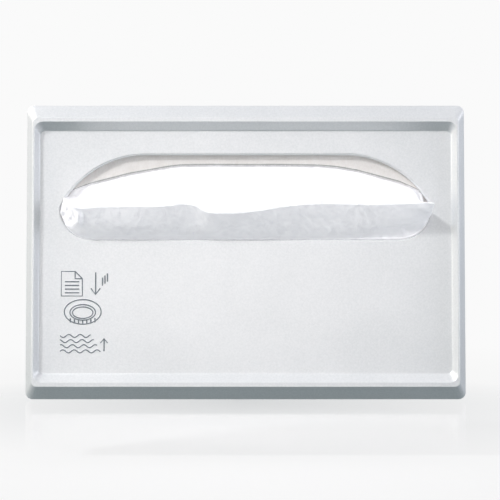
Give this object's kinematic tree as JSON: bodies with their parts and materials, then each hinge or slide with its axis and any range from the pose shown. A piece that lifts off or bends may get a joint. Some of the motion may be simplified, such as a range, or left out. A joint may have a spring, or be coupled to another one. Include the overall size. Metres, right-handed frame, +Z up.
{
  "type": "toilet seat cover dispenser",
  "caption": "Shallow wall dispenser for folded paper seat covers: bevelled rim, recessed panel, wide slot with a cover drawn through, drop-front shell with a key lock on top.",
  "frame": {"origin": "on the wall plane at the centre of the four wall screws, which is the case's centre", "axes": "+X to the right along the case, +Y into the wall, +Z up; the front faces -Y"},
  "size_m": [0.43, 0.071, 0.288],
  "materials": {
    "silver_abs": "satin silver lacquer on moulded ABS",
    "grey_abs": "fine moulded texture",
    "steel": "zinc plated",
    "plated_zinc": "nickel plated die casting",
    "stack_paper": "uncoated folded tissue paper",
    "tissue": "thin creped tissue paper"
  },
  "bodies": {
    "wall_side": {"back_plate": "grey_abs", "hinge_pin_left": "steel", "hinge_pin_right": "steel", "cover_stack": "stack_paper", "pulled_cover": "tissue"},
    "cover": {"front_cover": "silver_abs", "lock_housing": "plated_zinc", "lock_nut": "plated_zinc"},
    "lock": {"lock_plug": "plated_zinc", "lock_cam": "steel", "lock_screw": "steel"}
  },
  "joints": [
    {"name": "cover_hinge", "type": "hinge", "parent": "wall_side", "child": "cover", "pos_m": [0, -0.004, -0.1405], "axis": [1, 0, 0], "range_deg": [0, 90]},
    {"name": "lock_turn", "type": "hinge", "parent": "cover", "child": "lock", "pos_m": [0, -0.026, 0.144], "axis": [0, 0, -1], "range_deg": [0, 90]}
  ]
}
